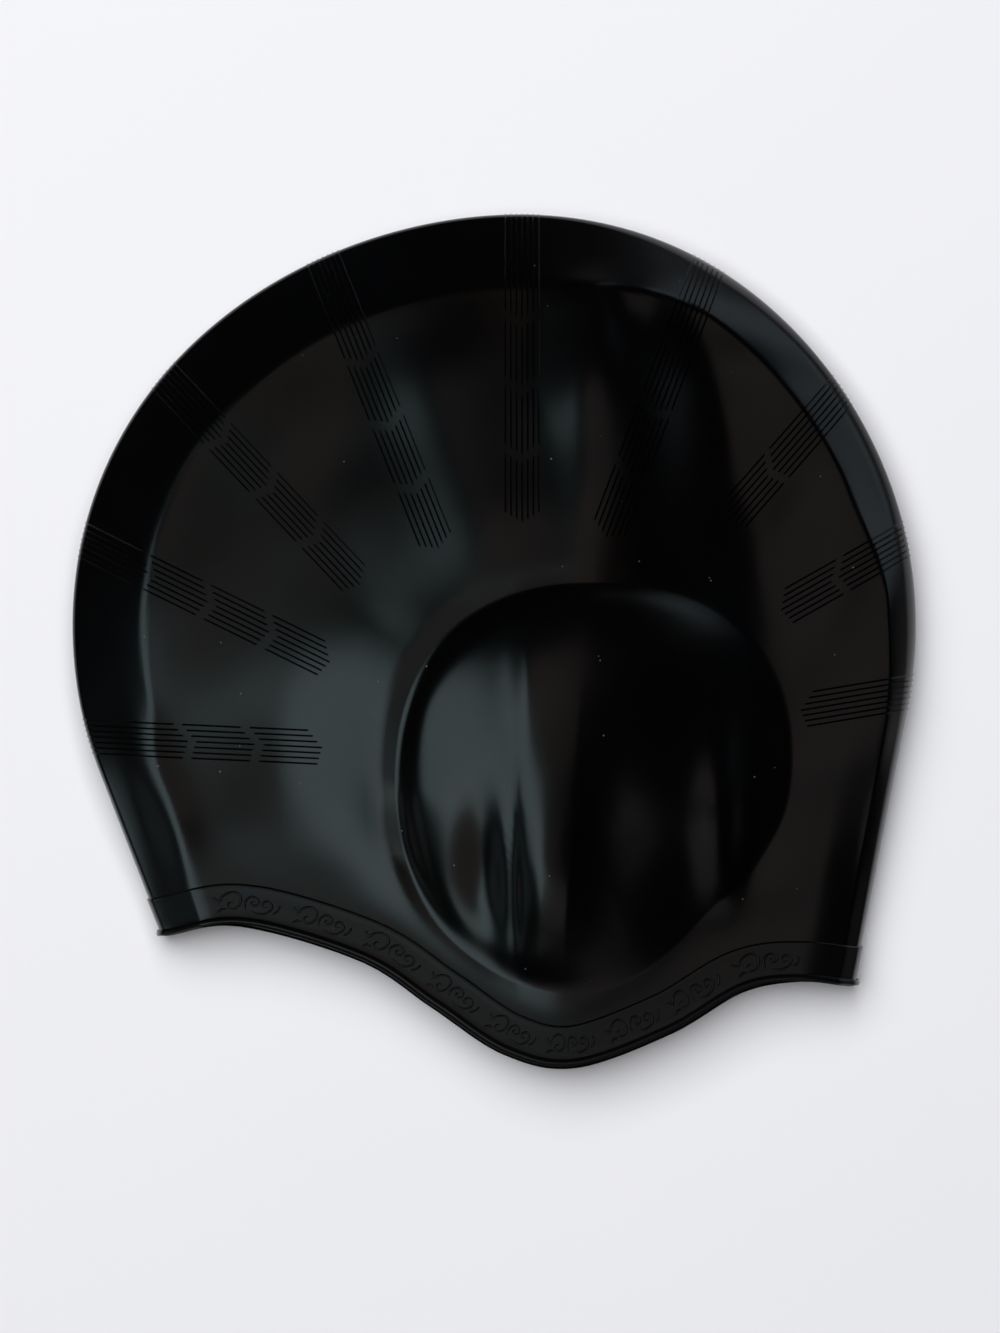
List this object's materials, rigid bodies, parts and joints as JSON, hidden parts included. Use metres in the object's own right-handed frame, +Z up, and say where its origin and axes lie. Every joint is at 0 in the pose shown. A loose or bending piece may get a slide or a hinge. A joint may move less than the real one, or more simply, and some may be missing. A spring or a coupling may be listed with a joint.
{
  "type": "swim cap",
  "caption": "One-piece moulded silicone swim cap with ear pockets, a scalloped hem and raised ribs, lying on its side.",
  "frame": {"origin": "on the table, under the middle of the cap's box", "axes": "+X from the forehead side to the nape side, +Y from the hem to the crown, +Z up from the table"},
  "size_m": [0.23, 0.2336, 0.0355],
  "materials": {
    "cap_shell": "satin black silicone"
  },
  "bodies": {
    "root": {"cap_shell": "cap_shell"}
  },
  "joints": []
}
